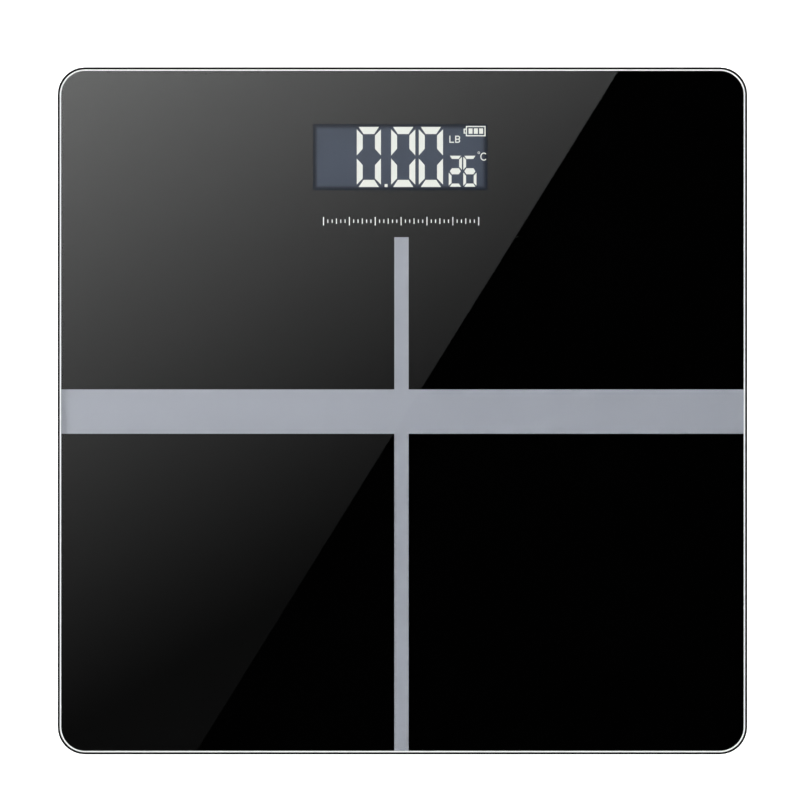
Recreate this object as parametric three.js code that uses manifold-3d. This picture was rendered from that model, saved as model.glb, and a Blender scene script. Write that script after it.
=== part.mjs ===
// Digital bathroom scale: a square glass platform on a moulded base that stands on four load cell feet.
// Millimetres, +Z up. The origin is on the floor under the middle of the platform, and +Y points to the
// edge nearest the display.

import * as THREE from "three";
import { mergeVertices } from "three/addons/utils/BufferGeometryUtils.js";
import Module from "manifold-3d";

const wasm = await Module();
wasm.setup();

// ---- Driving dimensions ----------------------------------------------------------------------------

// General fits
const CLEARANCE = 0.3; // between pieces that touch or slide
const CORNER_STEPS = 8; // facets in a quarter circle of an outline's corner
const FOOT_FACETS = 32; // facets round a foot
const HIDDEN_FACETS = 20; // facets round a piece that the casing hides

// Platform
const WIDTH = 280; // X, over the base rim
const DEPTH = 279; // Y, over the base rim
const CORNER_RADIUS = 11;
const GLASS_THICKNESS = 6;
const GLASS_MARGIN = 0.65; // how far the base rim stands proud of the glass
const ARRIS = 0.6; // ground edge of the glass, at top and bottom
const INK_THICKNESS = 0.1;
const INK_GAP = 0.1; // between ink layers, and between ink and glass

// Silver cross
const BAR_DEPTH = 18; // Y size of the bar that runs from side to side
const BAR_OFFSET_Y = -0.3;
const STEM_WIDTH = 5.8; // X size of the bar that runs from the display towards the user
const STEM_OFFSET_X = -0.4;
const STEM_FROM_EDGE = 69; // from the display edge of the platform to the stem's end

// Display window
const WINDOW_WIDTH = 70.9;
const WINDOW_DEPTH = 27;
const WINDOW_OFFSET_X = -0.9;
const WINDOW_FROM_EDGE = 36.5; // from the display edge of the platform to the window's middle

// Base
const FLOOR_CLEARANCE = 5; // from the floor to the underside of the base
const FLOOR_THICKNESS = 2;
const WALL = 2;
const WALL_DRAFT = 3; // how far the side wall leans in, from the flange to the floor
const BOTTOM_CHAMFER = 1;
const FLANGE_WIDTH = 10.5; // from the outer edge to the inside of the base
const FLANGE_THICKNESS = 2;
const RIM_WALL = 1.8;
const RIM_TO_INK = 0.2; // from the top of the rim up to the ink
const SKIRT_DROP = 2; // how far the rim hangs below the flange
const INNER_CORNER_RADIUS = 9;
const RIB_THICKNESS = 1.4;
const RIB_HEIGHT = 2.5;
const RIB_PITCH = 45; // between the ribs that run along X
const RIB_FROM_EDGE = 49.5; // from the user's edge of the platform to the first of them
const RIB_COLUMNS = [-75, -38, 38, 75]; // x of the ribs that run along Y
const COLUMN_HEIGHT = 2.2;
const COLUMN_FROM_EDGE = 27.5; // from the user's edge of the platform to where they start
const COLUMN_TO_BOARD = 14.7; // from where they end to the board
const LABEL_RECESS = { x: 0, y: -52, width: 84, depth: 46, radius: 3, deep: 0.4 };

// Foam tape
const TAPE_THICKNESS = 0.8;
const TAPE_WIDTH = 7;

// Battery and its bay
const BATTERY_DIAMETER = 10.2;
const BATTERY_LENGTH = 43.4; // body without the positive nub
const NUB_HEIGHT = 1.1;
const NUB_RADIUS = 1.9;
const NUB_ROOT = 1; // how far the nub runs into the body
const BATTERY_GAP = 0.6; // between the two batteries
const BAY_FROM_EDGE = 94.5; // from the display edge of the platform to the bay's middle
const BAY_WALL = 2.7;
const BAY_CEILING = 0.9;
const CONTACT_THICKNESS = 0.5;
const CONTACT_WIDTH = 8.6;
const CONTACT_HEIGHT = 8.4;
const SPRING_LENGTH = 6;
const SPRING_BASE_RADIUS = 3.4;
const SPRING_TIP_RADIUS = 2;
const TAB_WIDTH = 2.4;
const TAB_LENGTH = 5;

// Battery door
const DOOR_THICKNESS = 1.6;
const DOOR_OVERLAP = 1; // door beyond the bay's opening, on every side
const DOOR_RIB_THICKNESS = 1.4;
const DOOR_RIB_HEIGHT = 1.8;
const DOOR_RIB_LENGTH = 34;
const HINGE_PIN_RADIUS = 0.6;
const HINGE_PIN_LENGTH = 1;
const GRIP_WIDTH = 12;
const GRIP_LENGTH = 3.2;

// Feet
const FOOT_TRAVEL = 1; // how far a foot drops when the scale is lifted
const PAD_RADIUS = 15.5;
const PAD_EXPOSED = 1.2; // pad below the cup
const PAD_RECESS = 1.3;
const PAD_EDGE = 0.8;
const CUP_RADIUS = 18.6;
const CUP_WALL = 1.2;
const CUP_FLOOR = 1.8;
const CUP_EDGE = 1;
const CUP_FLANGE = 2;
const CUP_FLANGE_THICKNESS = 1.5;
const CELL_SHELF = 2.4; // width of the shelf that carries the load cell
const LIP_THICKNESS = 1.7; // floor of the base round the cup
const COLLAR_WALL = 1.9;
const COLLAR_HEIGHT = 7;
const LEAD_GAP_REACH = 7.6; // Y size of the cut for the lead, well past both faces of the collar
const COLLAR_TO_LEDGE = 2.7; // from a collar to the inside of the flange

// Load cell
const CELL_THICKNESS = 2;
const CELL_HALF_DEPTH = 12.5;
const CELL_BELOW_CUP_TOP = 1.2;
const CELL_SLOT = 2;
const CELL_STEPS = 6; // facets in each round end
const TONGUE_HALF_WIDTH = 5;
const SLOT_START_X = -8;
const SLOT_END_X = 10;
const GAUGE = { x: -5, width: 5, depth: 6, thickness: 0.5 };

// Load cell carrier
const CARRIER_PLATE = 1.8;
const BOSS_RADIUS = 3;
const CROWN_OUTER_RADIUS = 12;
const CROWN_INNER_RADIUS = 9.5;

// Display stack
const GASKET_THICKNESS = 0.8;
const GASKET_REVEAL = 0.8; // gasket opening beyond the window
const LCD_BORDER = 3.5; // LCD beyond the window
const LCD_THICKNESS = 1.8;
const BACKLIGHT_THICKNESS = 2.4;
const BACKLIGHT_BORDER = 0.5;
const LCD_LEDGE = 0.8; // ledge of the holder under the LCD's edge
const ZEBRA_WIDTH = 1.6;
const HOLDER_WALL = 2;
const EAR_RADIUS = 4;
const EAR_HEIGHT = 2.2;
const EAR_FROM_EDGE = 6; // from the holder's front and back to an ear's axis

// Board and what is on it
const BOARD_THICKNESS = 1.2;
const BOARD_MARGIN = 1;
const BOARD_TAIL = 24; // board beyond the ears, on the +X side
const BOSS_WALL = 1.9;
const SCREW_RADIUS = 1.2;
const SCREW_HEAD_RADIUS = 2.5;
const SCREW_HEAD_HEIGHT = 1.5;
const SCREW_POINT = 1.4; // from the floor of the base up to the screw's end
const BLOB_RADIUS = 6;
const BLOB_HEIGHT = 1.8;
const BLOB_STEPS = 4; // facets from the blob's edge to its crown
const CHIP = { width: 5, depth: 10, height: 1.6 };
const SENSOR_RADIUS = 1.4;
const SENSOR_LEG = 0.5;
const SENSOR_FACETS = 12;

// Unit button and switch
const BUTTON_X = -28;
const BUTTON_BEFORE_WINDOW = 6; // from the window's middle towards the user
const BUTTON_RADIUS = 4;
const BUTTON_FLANGE = 1.3;
const BUTTON_FLANGE_THICKNESS = 0.8;
const BUTTON_PROUD = 0.3; // button below the underside of the base
const BUTTON_TRAVEL = 0.5;
const PLUNGER_RADIUS = 1.5;
const PLUNGER_LENGTH = 1.3;
const SWITCH_SIZE = 6;

// Leads
const LEAD_RADIUS = 0.8;
const LEAD_SIDES = 8;
const LEAD_SPACING = 3.4;
const LEAD_LAND = 4.5; // how far a lead reaches over the board
const CELL_LEAD_TO_BAY = 24.7; // from the front cells' leads to the battery bay

// ---- Levels and places that follow from them -------------------------------------------------------

const BASE_BOTTOM = FLOOR_CLEARANCE;
const FLOOR_TOP = BASE_BOTTOM + FLOOR_THICKNESS;
const IN_FLOOR = BASE_BOTTOM + FLOOR_THICKNESS / 2; // where ribs and bosses are rooted
const DOOR_TOP = BASE_BOTTOM + DOOR_THICKNESS;
const BATTERY_RADIUS = BATTERY_DIAMETER / 2;
const BATTERY_SPACING = BATTERY_DIAMETER + BATTERY_GAP; // between the two axes
const BAY_Y = DEPTH / 2 - BAY_FROM_EDGE;
const BATTERY_Z = DOOR_TOP + CLEARANCE + BATTERY_RADIUS;
const BAY_TOP = BATTERY_Z + BATTERY_RADIUS + CLEARANCE;
const BLACK_BOTTOM = BAY_TOP + BAY_CEILING + CLEARANCE;
const SILVER_BOTTOM = BLACK_BOTTOM + INK_THICKNESS + INK_GAP;
const GLASS_BOTTOM = SILVER_BOTTOM + INK_THICKNESS + INK_GAP;
const GLASS_TOP = GLASS_BOTTOM + GLASS_THICKNESS;
const UNDER_INK = BLACK_BOTTOM - CLEARANCE;
const RIM_TOP = BLACK_BOTTOM - RIM_TO_INK;
const LEDGE_TOP = UNDER_INK - TAPE_THICKNESS - CLEARANCE;
const FLANGE_BOTTOM = LEDGE_TOP - FLANGE_THICKNESS;

const GLASS_RADIUS = CORNER_RADIUS - GLASS_MARGIN;
const WINDOW_Y = DEPTH / 2 - WINDOW_FROM_EDGE;

const LCD_TOP = UNDER_INK - GASKET_THICKNESS - CLEARANCE;
const LCD_BOTTOM = LCD_TOP - LCD_THICKNESS;
const BACKLIGHT_TOP = LCD_BOTTOM - CLEARANCE;
const HOLDER_BOTTOM = BACKLIGHT_TOP - BACKLIGHT_THICKNESS;
const BOARD_TOP = HOLDER_BOTTOM - CLEARANCE;
const BOARD_BOTTOM = BOARD_TOP - BOARD_THICKNESS;
const LCD_WIDTH = WINDOW_WIDTH + 2 * LCD_BORDER;
const LCD_DEPTH = WINDOW_DEPTH + 2 * LCD_BORDER;
const HOLDER_WIDTH = LCD_WIDTH + 2 * (CLEARANCE + HOLDER_WALL);
const HOLDER_DEPTH = LCD_DEPTH + 2 * (CLEARANCE + HOLDER_WALL);
const EAR_REACH = SCREW_HEAD_RADIUS + 2 * CLEARANCE; // from the holder's side to an ear's axis
const EAR_X = HOLDER_WIDTH / 2 + EAR_REACH;
const EAR_Y = HOLDER_DEPTH / 2 - EAR_FROM_EDGE;
const EAR_PLACES = [
  { x: WINDOW_OFFSET_X - EAR_X, y: WINDOW_Y - EAR_Y },
  { x: WINDOW_OFFSET_X + EAR_X, y: WINDOW_Y - EAR_Y },
  { x: WINDOW_OFFSET_X - EAR_X, y: WINDOW_Y + EAR_Y },
  { x: WINDOW_OFFSET_X + EAR_X, y: WINDOW_Y + EAR_Y },
];
const BOARD_LEFT = WINDOW_OFFSET_X - EAR_X - EAR_RADIUS;
const BOARD_RIGHT = WINDOW_OFFSET_X + EAR_X + EAR_RADIUS + BOARD_TAIL;
const BOARD_FRONT = WINDOW_Y - HOLDER_DEPTH / 2 - BOARD_MARGIN;
const BOARD_BACK = WINDOW_Y + HOLDER_DEPTH / 2 + BOARD_MARGIN;
const TAIL_X = BOARD_RIGHT - BOARD_TAIL / 2;
const BUTTON_Y = WINDOW_Y - BUTTON_BEFORE_WINDOW;

const BAY_LENGTH = BATTERY_LENGTH + NUB_HEIGHT + SPRING_LENGTH + 2 * CONTACT_THICKNESS + 5 * CLEARANCE;
const BAY_DEPTH = BATTERY_SPACING + BATTERY_DIAMETER + 2 * CLEARANCE;
const DOOR_LENGTH = BAY_LENGTH + 2 * DOOR_OVERLAP;
const DOOR_DEPTH = BAY_DEPTH + 2 * DOOR_OVERLAP;
const HINGE_RADIUS = DOOR_THICKNESS / 2;
const HINGE_X = HINGE_RADIUS - DOOR_LENGTH / 2;
const HINGE_Z = BASE_BOTTOM + HINGE_RADIUS;

const LIP_TOP = BASE_BOTTOM + LIP_THICKNESS;
const FLANGE_REST = LIP_TOP + FOOT_TRAVEL + CLEARANCE; // underside of the cup's flange
const CUP_TOP = FLANGE_REST + CUP_FLANGE_THICKNESS;
const PAD_TOP = PAD_EXPOSED + PAD_RECESS - CLEARANCE;
const CUP_FLOOR_TOP = PAD_EXPOSED + PAD_RECESS + CUP_FLOOR;
const CELL_TOP = CUP_TOP - CELL_BELOW_CUP_TOP;
const CELL_BOTTOM = CELL_TOP - CELL_THICKNESS;
const CUP_BORE = CUP_RADIUS - CUP_WALL;
const CELL_RADIUS = CUP_BORE - CLEARANCE;
const POCKET_RADIUS = CUP_RADIUS + CUP_FLANGE + CLEARANCE;
const COLLAR_RADIUS = POCKET_RADIUS + COLLAR_WALL;
const COLLAR_TOP = BASE_BOTTOM + COLLAR_HEIGHT;
const FOOT_INSET = FLANGE_WIDTH + COLLAR_TO_LEDGE + COLLAR_RADIUS; // from the edges to a foot's axis
const FOOT_X = WIDTH / 2 - FOOT_INSET;
const FOOT_Y = DEPTH / 2 - FOOT_INSET;
const LEAD_Z = COLLAR_TOP - LEAD_RADIUS;

const QUARTER = Math.PI / 2;

// ---- Shape helpers ---------------------------------------------------------------------------------

// A closed geometry as a solid, with shared corners merged and collapsed faces dropped.
function solidFrom(geometry) {
  const bare = geometry.clone();
  bare.deleteAttribute("normal");
  bare.deleteAttribute("uv");
  const merged = mergeVertices(bare);
  const corners = merged.index.array;
  const kept = [];
  for (let i = 0; i < corners.length; i += 3) {
    const [a, b, c] = corners.slice(i, i + 3);
    if (a !== b && b !== c && c !== a) {
      kept.push(a, b, c);
    }
  }
  const vertProperties = merged.attributes.position.array;
  return new wasm.Manifold(new wasm.Mesh({ numProp: 3, vertProperties, triVerts: new Uint32Array(kept) }));
}

function joined(solids) {
  return solids.reduce((whole, solid) => whole.add(solid));
}

// A rectangle with round corners, anticlockwise from the middle of its +X side.
function roundedRect(width, depth, radius, steps = CORNER_STEPS) {
  const outline = [];
  for (let corner = 0; corner < 4; corner += 1) {
    const signX = corner === 0 || corner === 3 ? 1 : -1;
    const signY = corner < 2 ? 1 : -1;
    const centreX = signX * (width / 2 - radius);
    const centreY = signY * (depth / 2 - radius);
    for (let step = 0; step <= steps; step += 1) {
      const angle = (corner + step / steps) * QUARTER;
      outline.push(new THREE.Vector2(centreX + radius * Math.cos(angle), centreY + radius * Math.sin(angle)));
    }
  }
  return outline;
}

// The platform's outline, drawn in from the base rim.
function platformOutline(inset, radius) {
  return roundedRect(WIDTH - 2 * inset, DEPTH - 2 * inset, radius);
}

// A solid through rings of equal count, each a convex loop of [x, y, z] corners.
function skin(rings) {
  const count = rings[0].length;
  const faces = [];
  for (let level = 0; level + 1 < rings.length; level += 1) {
    for (let i = 0; i < count; i += 1) {
      const a = level * count + i;
      const b = level * count + ((i + 1) % count);
      faces.push(a, b, b + count, a, b + count, a + count);
    }
  }
  const end = (rings.length - 1) * count;
  for (let i = 1; i + 1 < count; i += 1) {
    faces.push(0, i + 1, i, end, end + i, end + i + 1);
  }
  const geometry = new THREE.BufferGeometry();
  geometry.setAttribute("position", new THREE.Float32BufferAttribute(rings.flat(2), 3));
  geometry.setIndex(faces);
  return solidFrom(geometry);
}

// A solid through outlines of equal count, from the lowest to the highest.
function loft(sections) {
  return skin(sections.map(({ outline, z }) => outline.map((point) => [point.x, point.y, z])));
}

function prism(outline, bottom, top) {
  return loft([
    { outline, z: bottom },
    { outline, z: top },
  ]);
}

function block(left, right, front, back, bottom, top) {
  const geometry = new THREE.BoxGeometry(right - left, back - front, top - bottom);
  return solidFrom(geometry.translate((left + right) / 2, (front + back) / 2, (bottom + top) / 2));
}

// A block by its middle in X and Y and its size there.
function slab(x, y, width, depth, bottom, top) {
  return block(x - width / 2, x + width / 2, y - depth / 2, y + depth / 2, bottom, top);
}

function post(x, y, radius, bottom, top, facets = HIDDEN_FACETS) {
  const geometry = new THREE.CylinderGeometry(radius, radius, top - bottom, facets);
  return solidFrom(geometry.rotateX(QUARTER).translate(x, y, (bottom + top) / 2));
}

// A cone or cylinder along X, from one x to another.
function rodAlongX(fromX, toX, fromRadius, toRadius, y, z) {
  const geometry = new THREE.CylinderGeometry(toRadius, fromRadius, toX - fromX, HIDDEN_FACETS);
  return solidFrom(geometry.rotateZ(-QUARTER).translate((fromX + toX) / 2, y, z));
}

function rodAlongY(x, z, radius, front, back) {
  const geometry = new THREE.CylinderGeometry(radius, radius, back - front, HIDDEN_FACETS);
  return solidFrom(geometry.translate(x, (front + back) / 2, z));
}

// A turned piece about Z, from [radius, height] points that run upwards on its outside.
function turned(profile, facets) {
  const points = profile.map(([radius, height]) => new THREE.Vector2(radius, height));
  return solidFrom(new THREE.LatheGeometry(points, facets).rotateX(QUARTER));
}

// A lead of straight stretches between [x, y, z] points, mitred where they meet.
function lead(route) {
  const points = route.map((point) => new THREE.Vector3(...point));
  const up = new THREE.Vector3(0, 0, 1);
  const rings = points.map((point, i) => {
    const before = point.clone().sub(points[Math.max(i - 1, 0)]).normalize();
    const after = points[Math.min(i + 1, points.length - 1)].clone().sub(point).normalize();
    const along = before.clone().add(after).normalize();
    const mitre = 1 / along.dot(i === 0 ? after : before);
    const across = new THREE.Vector3().crossVectors(up, along).normalize();
    const over = new THREE.Vector3().crossVectors(along, across);
    return Array.from({ length: LEAD_SIDES }, (unused, side) => {
      const angle = (side / LEAD_SIDES) * 2 * Math.PI;
      const corner = point.clone();
      corner.addScaledVector(across, LEAD_RADIUS * mitre * Math.cos(angle));
      corner.addScaledVector(over, LEAD_RADIUS * Math.sin(angle));
      return corner.toArray();
    });
  });
  return skin(rings);
}

// ---- Materials -------------------------------------------------------------------------------------

function material(color, roughness, metalness = 0) {
  return new THREE.MeshStandardMaterial({ color, roughness, metalness, flatShading: true });
}

const clearGlass = new THREE.MeshStandardMaterial({
  color: 0xdfe8e4,
  roughness: 0.05,
  transparent: true,
  opacity: 0.25,
  flatShading: true,
});
const blackInk = material(0x050506, 0.35);
const silverInk = material(0x9a9ea7, 0.4, 0.3);
const blackPlastic = material(0x151517, 0.55);
const greyPlastic = material(0x3a3c40, 0.6);
const foam = material(0x202022, 0.95);
const lcdGlass = material(0x515763, 0.2);
const lightGuide = material(0xe6eaf2, 0.4);
const elastomer = material(0x8d8f94, 0.8);
const circuitBoard = material(0x1d5b38, 0.5);
const epoxy = material(0x0b0b0c, 0.3);
const steel = material(0x9fa3a8, 0.35, 0.9);
const springMetal = material(0xc3c6ca, 0.25, 1);
const rubber = material(0x1b1b1b, 0.9);
const batteryWrap = material(0x2f6e4a, 0.4);
const gaugeResin = material(0xd9d6cc, 0.6);
const leadInsulation = material(0x9b1f1f, 0.6);

// ---- Scene graph -----------------------------------------------------------------------------------

const scale = new THREE.Group();

function addMesh(name, solid, surface, parent = scale) {
  const { numProp, vertProperties, triVerts } = solid.getMesh();
  const geometry = new THREE.BufferGeometry();
  geometry.setAttribute("position", new THREE.BufferAttribute(new Float32Array(vertProperties), numProp));
  geometry.setIndex(new THREE.BufferAttribute(triVerts, 1));
  const mesh = new THREE.Mesh(geometry, surface);
  mesh.name = name;
  parent.add(mesh);
}

// ---- Platform --------------------------------------------------------------------------------------

function glassPlatform() {
  const flat = platformOutline(GLASS_MARGIN + ARRIS, GLASS_RADIUS - ARRIS);
  const full = platformOutline(GLASS_MARGIN, GLASS_RADIUS);
  return loft([
    { outline: flat, z: GLASS_BOTTOM },
    { outline: full, z: GLASS_BOTTOM + ARRIS },
    { outline: full, z: GLASS_TOP - ARRIS },
    { outline: flat, z: GLASS_TOP },
  ]);
}

function inkLayer(bottom) {
  const outline = platformOutline(GLASS_MARGIN + ARRIS, GLASS_RADIUS - ARRIS);
  return prism(outline, bottom, bottom + INK_THICKNESS);
}

function blackBackPrint() {
  const top = BLACK_BOTTOM + 2 * INK_THICKNESS;
  const opening = slab(WINDOW_OFFSET_X, WINDOW_Y, WINDOW_WIDTH, WINDOW_DEPTH, BLACK_BOTTOM - INK_GAP, top);
  return inkLayer(BLACK_BOTTOM).subtract(opening);
}

function silverCrossPrint() {
  const bottom = SILVER_BOTTOM - INK_GAP / 2;
  const top = SILVER_BOTTOM + INK_THICKNESS + INK_GAP / 2;
  const bar = slab(0, BAR_OFFSET_Y, WIDTH, BAR_DEPTH, bottom, top);
  const left = STEM_OFFSET_X - STEM_WIDTH / 2;
  const stem = block(left, left + STEM_WIDTH, -DEPTH / 2, DEPTH / 2 - STEM_FROM_EDGE, bottom, top);
  return inkLayer(SILVER_BOTTOM).intersect(bar.add(stem));
}

function addTapes() {
  const bottom = LEDGE_TOP + CLEARANCE;
  const outerX = WIDTH / 2 - RIM_WALL - CLEARANCE;
  const outerY = DEPTH / 2 - RIM_WALL - CLEARANCE;
  const longX = WIDTH / 2 - CORNER_RADIUS;
  const longY = outerY - TAPE_WIDTH - CLEARANCE;
  for (const [name, side] of [["front", -1], ["back", 1]]) {
    const y = side * (outerY - TAPE_WIDTH / 2);
    const strip = slab(0, y, 2 * longX, TAPE_WIDTH, bottom, bottom + TAPE_THICKNESS);
    addMesh(`foam_tape_${name}`, strip, foam);
  }
  for (const [name, side] of [["left", -1], ["right", 1]]) {
    const x = side * (outerX - TAPE_WIDTH / 2);
    const strip = slab(x, 0, TAPE_WIDTH, 2 * longY, bottom, bottom + TAPE_THICKNESS);
    addMesh(`foam_tape_${name}`, strip, foam);
  }
}

// ---- Base ------------------------------------------------------------------------------------------

// The tub below the flange, drawn in from its outer face by a wall thickness.
function tub(wall, bottom, top, chamfer) {
  const height = FLANGE_BOTTOM - BASE_BOTTOM;
  const insetAt = (z) => FLANGE_WIDTH - WALL + wall + (WALL_DRAFT * (FLANGE_BOTTOM - z)) / height;
  const outlineAt = (z, extra) => platformOutline(insetAt(z) + extra, INNER_CORNER_RADIUS - wall);
  const sections = [
    { outline: outlineAt(bottom, chamfer), z: bottom },
    { outline: outlineAt(bottom + BOTTOM_CHAMFER, 0), z: bottom + BOTTOM_CHAMFER },
    { outline: outlineAt(FLANGE_BOTTOM, 0), z: FLANGE_BOTTOM },
  ];
  if (top > FLANGE_BOTTOM) {
    sections.push({ outline: outlineAt(FLANGE_BOTTOM, 0), z: top });
  }
  return loft(sections);
}

function rim() {
  const inner = platformOutline(RIM_WALL, CORNER_RADIUS - RIM_WALL);
  const outer = prism(platformOutline(0, CORNER_RADIUS), FLANGE_BOTTOM - SKIRT_DROP, RIM_TOP);
  const above = prism(inner, LEDGE_TOP, RIM_TOP + CLEARANCE);
  const below = prism(inner, FLANGE_BOTTOM - SKIRT_DROP - CLEARANCE, FLANGE_BOTTOM);
  return outer.subtract(above).subtract(below);
}

function footPlaces() {
  const places = [];
  for (const [rowName, signY] of [["front", -1], ["back", 1]]) {
    for (const [sideName, signX] of [["left", -1], ["right", 1]]) {
      places.push({ name: `${rowName}_${sideName}`, x: signX * FOOT_X, y: signY * FOOT_Y, signX, signY });
    }
  }
  return places;
}

// The x at which a load cell's lead leaves its collar, a little towards the middle of the scale.
function leadExit({ x, signX }) {
  return x - (signX * CELL_HALF_DEPTH) / 2;
}

// The middle of each rib that runs along X, from the user's edge up to the battery bay.
function ribRows() {
  const rows = [];
  const limit = BAY_Y - BAY_DEPTH / 2 - BAY_WALL - RIB_THICKNESS;
  for (let y = RIB_FROM_EDGE - DEPTH / 2; y < limit; y += RIB_PITCH) {
    rows.push(y);
  }
  return rows;
}

// The ribs stop short of the foot collars and the board.
function ribs() {
  const top = FLOOR_TOP + RIB_HEIGHT;
  const sideLength = 2 * (WIDTH / 2 - FLANGE_WIDTH - WALL_DRAFT);
  const rows = ribRows().map((y) => {
    const besideFeet = Math.abs(y) + COLLAR_RADIUS + CLEARANCE > FOOT_Y;
    const length = besideFeet ? 2 * (FOOT_X - COLLAR_RADIUS - CLEARANCE) : sideLength;
    return slab(0, y, length, RIB_THICKNESS, IN_FLOOR, top);
  });
  const front = COLUMN_FROM_EDGE - DEPTH / 2;
  const back = BOARD_FRONT - COLUMN_TO_BOARD;
  const half = RIB_THICKNESS / 2;
  const columnTop = FLOOR_TOP + COLUMN_HEIGHT;
  const columns = RIB_COLUMNS.map((x) => block(x - half, x + half, front, back, IN_FLOOR, columnTop));
  return joined([...rows, ...columns]);
}

function bayCuts() {
  const halfLength = BAY_LENGTH / 2;
  const recessTop = DOOR_TOP + CLEARANCE;
  const under = BASE_BOTTOM - CLEARANCE;
  const recess = slab(0, BAY_Y, DOOR_LENGTH + 2 * CLEARANCE, DOOR_DEPTH + 2 * CLEARANCE, under, recessTop);
  const inside = slab(0, BAY_Y, BAY_LENGTH, BAY_DEPTH, under, BAY_TOP);
  const gripEnd = DOOR_LENGTH / 2 + GRIP_LENGTH + CLEARANCE;
  const gripHalf = GRIP_WIDTH / 2 + CLEARANCE;
  const gripNotch = block(0, gripEnd, BAY_Y - gripHalf, BAY_Y + gripHalf, under, recessTop);
  const pinReach = DOOR_DEPTH / 2 + HINGE_PIN_LENGTH + CLEARANCE;
  const pinHalf = HINGE_PIN_RADIUS + CLEARANCE;
  const pinNotch = slab(HINGE_X, BAY_Y, 2 * pinHalf, 2 * pinReach, under, HINGE_Z + pinHalf);
  const tabSlots = [-1, 1].map((side) => {
    const y = BAY_Y + (side * BATTERY_SPACING) / 2;
    const half = TAB_WIDTH / 2 + CLEARANCE;
    const slotBottom = BATTERY_Z - CLEARANCE - CONTACT_THICKNESS / 2;
    const slotTop = BATTERY_Z + CLEARANCE + CONTACT_THICKNESS / 2;
    return block(halfLength - BAY_WALL, halfLength + 2 * BAY_WALL, y - half, y + half, slotBottom, slotTop);
  });
  return joined([recess, inside, gripNotch, pinNotch, ...tabSlots]);
}

// Collars guide the cups, and a gap in each lets the load cell's lead out towards the middle.
function collarCuts(place) {
  const { x, y, signX, signY } = place;
  const hole = post(x, y, CUP_RADIUS + CLEARANCE, BASE_BOTTOM - CLEARANCE, LIP_TOP + CLEARANCE, FOOT_FACETS);
  const pocket = post(x, y, POCKET_RADIUS, LIP_TOP, COLLAR_TOP + CLEARANCE, FOOT_FACETS);
  const half = LEAD_RADIUS + CLEARANCE;
  const middle = y - signY * (COLLAR_RADIUS - COLLAR_WALL / 2);
  const gapBottom = LEAD_Z - half;
  const gap = slab(leadExit(place), middle, 2 * half, LEAD_GAP_REACH, gapBottom, COLLAR_TOP + CLEARANCE);
  return joined([hole, pocket, gap]);
}

function baseTray() {
  const shell = tub(0, BASE_BOTTOM, LEDGE_TOP, BOTTOM_CHAMFER).add(rim());
  const hollow = tub(WALL, FLOOR_TOP, LEDGE_TOP + CLEARANCE, BOTTOM_CHAMFER);
  const bayTop = BAY_TOP + BAY_CEILING;
  const bay = slab(0, BAY_Y, BAY_LENGTH + 2 * BAY_WALL, BAY_DEPTH + 2 * BAY_WALL, BASE_BOTTOM, bayTop);
  const collars = footPlaces().map(({ x, y }) =>
    post(x, y, COLLAR_RADIUS, BASE_BOTTOM, COLLAR_TOP, FOOT_FACETS),
  );
  const holeRadius = SCREW_RADIUS + CLEARANCE;
  const bossTop = BOARD_BOTTOM - CLEARANCE;
  const bosses = EAR_PLACES.map(({ x, y }) => post(x, y, holeRadius + BOSS_WALL, IN_FLOOR, bossTop));
  const bossHoles = EAR_PLACES.map(({ x, y }) => post(x, y, holeRadius, FLOOR_TOP, bossTop + CLEARANCE));
  const buttonHole = post(
    BUTTON_X,
    BUTTON_Y,
    BUTTON_RADIUS + CLEARANCE,
    BASE_BOTTOM - CLEARANCE,
    FLOOR_TOP + CLEARANCE,
    FOOT_FACETS,
  );
  const { x, y, width, depth, radius, deep } = LABEL_RECESS;
  const label = prism(
    roundedRect(width, depth, radius).map((point) => point.add(new THREE.Vector2(x, y))),
    BASE_BOTTOM - CLEARANCE,
    BASE_BOTTOM + deep,
  );
  const cuts = joined([bayCuts(), ...footPlaces().map(collarCuts), ...bossHoles, buttonHole, label]);
  return joined([shell.subtract(hollow), ribs(), bay, ...collars, ...bosses]).subtract(cuts);
}

function batteryDoor() {
  const end = DOOR_LENGTH / 2;
  const half = DOOR_DEPTH / 2;
  const plate = block(HINGE_X, end, BAY_Y - half, BAY_Y + half, BASE_BOTTOM, DOOR_TOP);
  const edge = rodAlongY(HINGE_X, HINGE_Z, HINGE_RADIUS, BAY_Y - half, BAY_Y + half);
  const pinHalf = half + HINGE_PIN_LENGTH;
  const pin = rodAlongY(HINGE_X, HINGE_Z, HINGE_PIN_RADIUS, BAY_Y - pinHalf, BAY_Y + pinHalf);
  const grip = slab(end, BAY_Y, 2 * GRIP_LENGTH, GRIP_WIDTH, BASE_BOTTOM, DOOR_TOP);
  const ribTop = DOOR_TOP + DOOR_RIB_HEIGHT;
  const rib = slab(0, BAY_Y, DOOR_RIB_LENGTH, DOOR_RIB_THICKNESS, DOOR_TOP - DOOR_THICKNESS / 2, ribTop);
  return joined([plate, edge, pin, grip, rib]);
}

// ---- Batteries and contacts ------------------------------------------------------------------------

// The first battery's positive end faces +X and the second's faces -X.
const BATTERY_ROWS = [
  { name: "battery_1", y: BAY_Y + BATTERY_SPACING / 2, facing: 1 },
  { name: "battery_2", y: BAY_Y - BATTERY_SPACING / 2, facing: -1 },
];
const CONTACT_FACE = BAY_LENGTH / 2 - CLEARANCE - CONTACT_THICKNESS; // the side that meets a battery

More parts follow.
